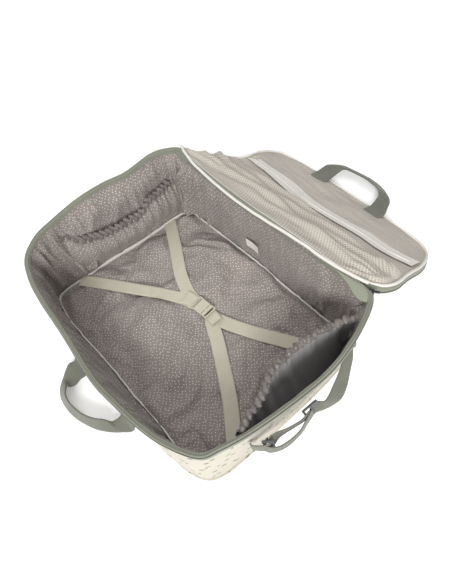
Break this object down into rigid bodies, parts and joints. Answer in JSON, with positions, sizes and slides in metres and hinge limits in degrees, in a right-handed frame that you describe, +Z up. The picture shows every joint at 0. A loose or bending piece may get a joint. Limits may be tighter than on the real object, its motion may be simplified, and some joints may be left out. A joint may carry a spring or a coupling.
{
  "type": "soft travel holdall",
  "caption": "Soft rectangular travel holdall with a zip lid laid open, ruched end pockets, crossed packing straps with a clip, webbing carry handles and an adjustable end strap.",
  "frame": {"origin": "centre of the underside of the base", "axes": "+Z up, X along the bag's length with the adjustable end strap on +X, -Y the side with the front carry handle, +Y the hinge side of the lid"},
  "size_m": [0.5596, 0.7379, 0.1554],
  "materials": {
    "printed_canvas": "matte off-white canvas with small olive marks",
    "dotted_lining": "matte taupe cotton with small off-white dots",
    "sage_band": "matte sage cotton binding",
    "sage_webbing": "woven sage webbing",
    "cream_webbing": "woven cream-beige webbing",
    "cream_binding": "matte cream tape",
    "beige_mesh": "open beige net",
    "foam": "closed-cell foam",
    "board": "thin hollow sheet",
    "elastic": "gathered lining over elastic",
    "dark_plastic": "moulded dark grey",
    "cream_plastic": "moulded cream",
    "zip_metal": "dark painted die-cast",
    "zip_coil": "nylon coil",
    "cream_coil": "nylon coil",
    "label": "satin tape"
  },
  "bodies": {
    "bag": {"outer_base": "printed_canvas", "base_board": "board", "lining_base": "dotted_lining", "base_seam_binding": "cream_binding", "outer_front_wall": "printed_canvas", "outer_back_wall": "printed_canvas", "outer_left_wall": "printed_canvas", "outer_right_wall": "printed_canvas", "lining_front_wall": "dotted_lining", "lining_back_wall": "dotted_lining", "lining_left_wall": "dotted_lining", "lining_right_wall": "dotted_lining", "rim_band": "sage_band", "body_zip_tape": "sage_band", "body_zip_coil": "zip_coil", "hinge_piping": "cream_binding", "pocket_left_panel": "dotted_lining", "pocket_left_elastic": "elastic", "pocket_right_panel": "dotted_lining", "pocket_right_elastic": "elastic", "care_label": "label", "packing_strap_left_front": "cream_webbing", "packing_strap_left_rear": "cream_webbing", "packing_strap_right_front": "cream_webbing", "packing_strap_right_rear": "cream_webbing", "strap_yoke_left": "cream_webbing", "strap_yoke_right": "cream_webbing", "buckle_female": "cream_plastic", "front_handle_patches": "sage_webbing", "end_strap_tab": "sage_webbing", "end_strap_anchor": "sage_webbing"},
    "zip_slider": {"zip_slider": "zip_metal"},
    "zip_pull": {"zip_pull": "zip_metal"},
    "buckle_male": {"buckle_male": "cream_plastic", "buckle_tail": "cream_webbing"},
    "front_handle": {"front_handle": "sage_webbing"},
    "end_strap": {"strap_ring": "dark_plastic", "end_strap_upper": "sage_webbing", "end_strap_loop": "sage_webbing"},
    "tri_glide": {"tri_glide": "dark_plastic"},
    "lid": {"lid_side_band": "sage_band", "lid_outer_panel": "printed_canvas", "lid_foam": "foam", "lid_lining": "beige_mesh", "lid_mesh_rear": "beige_mesh", "lid_mesh_front": "beige_mesh", "mesh_zip_tape": "cream_binding", "mesh_zip_coil": "cream_coil", "lid_binding": "cream_binding", "lid_zip_tape": "sage_band", "lid_zip_coil": "zip_coil", "lid_handle_patches": "sage_webbing"},
    "lid_handle": {"lid_handle": "sage_webbing"},
    "mesh_slider": {"mesh_slider": "cream_plastic"},
    "mesh_pull": {"mesh_pull": "cream_plastic"}
  },
  "joints": [
    {"name": "lid_hinge", "type": "hinge", "parent": "bag", "child": "lid", "pos_m": [0, 0.1905, 0.1518], "axis": [1, 0, 0], "range_deg": [0, 213]},
    {"name": "lid_handle_swing", "type": "hinge", "parent": "lid", "child": "lid_handle", "pos_m": [0, 0.4003, 0.00482], "axis": [1, 0, 0], "range_deg": [0, 75]},
    {"name": "mesh_zip_slide", "type": "slide", "parent": "lid", "child": "mesh_slider", "axis": [1, 0, 0], "range_m": [0, 0.35]},
    {"name": "mesh_pull_flip", "type": "hinge", "parent": "mesh_slider", "child": "mesh_pull", "pos_m": [-0.176, 0.2976, 0.0863], "axis": [1, 0, 0], "range_deg": [0, 75]},
    {"name": "main_zip_corner", "type": "hinge", "parent": "bag", "child": "zip_slider", "pos_m": [0.206, 0.125, 0.15], "axis": [0, 0, 1], "range_deg": [-58, 0]},
    {"name": "main_pull_flip", "type": "hinge", "parent": "zip_slider", "child": "zip_pull", "pos_m": [0.24007, 0.17953, 0.1537], "axis": [-0.848, 0.5299, 0], "range_deg": [-70, 0]},
    {"name": "front_handle_swing", "type": "hinge", "parent": "bag", "child": "front_handle", "pos_m": [0, -0.19, 0.044], "axis": [1, 0, 0], "range_deg": [-90, 0]},
    {"name": "buckle_release", "type": "slide", "parent": "bag", "child": "buckle_male", "axis": [1, 0, 0], "range_m": [0, 0.018]},
    {"name": "end_strap_swing", "type": "hinge", "parent": "bag", "child": "end_strap", "pos_m": [0.2775, -0.07, 0.099], "axis": [-0.0273, 0.9915, 0.1276], "range_deg": [-60, 0]},
    {"name": "tri_glide_slide", "type": "slide", "parent": "end_strap", "child": "tri_glide", "axis": [0, -0.96, 0.28], "range_m": [0, 0.006]}
  ]
}
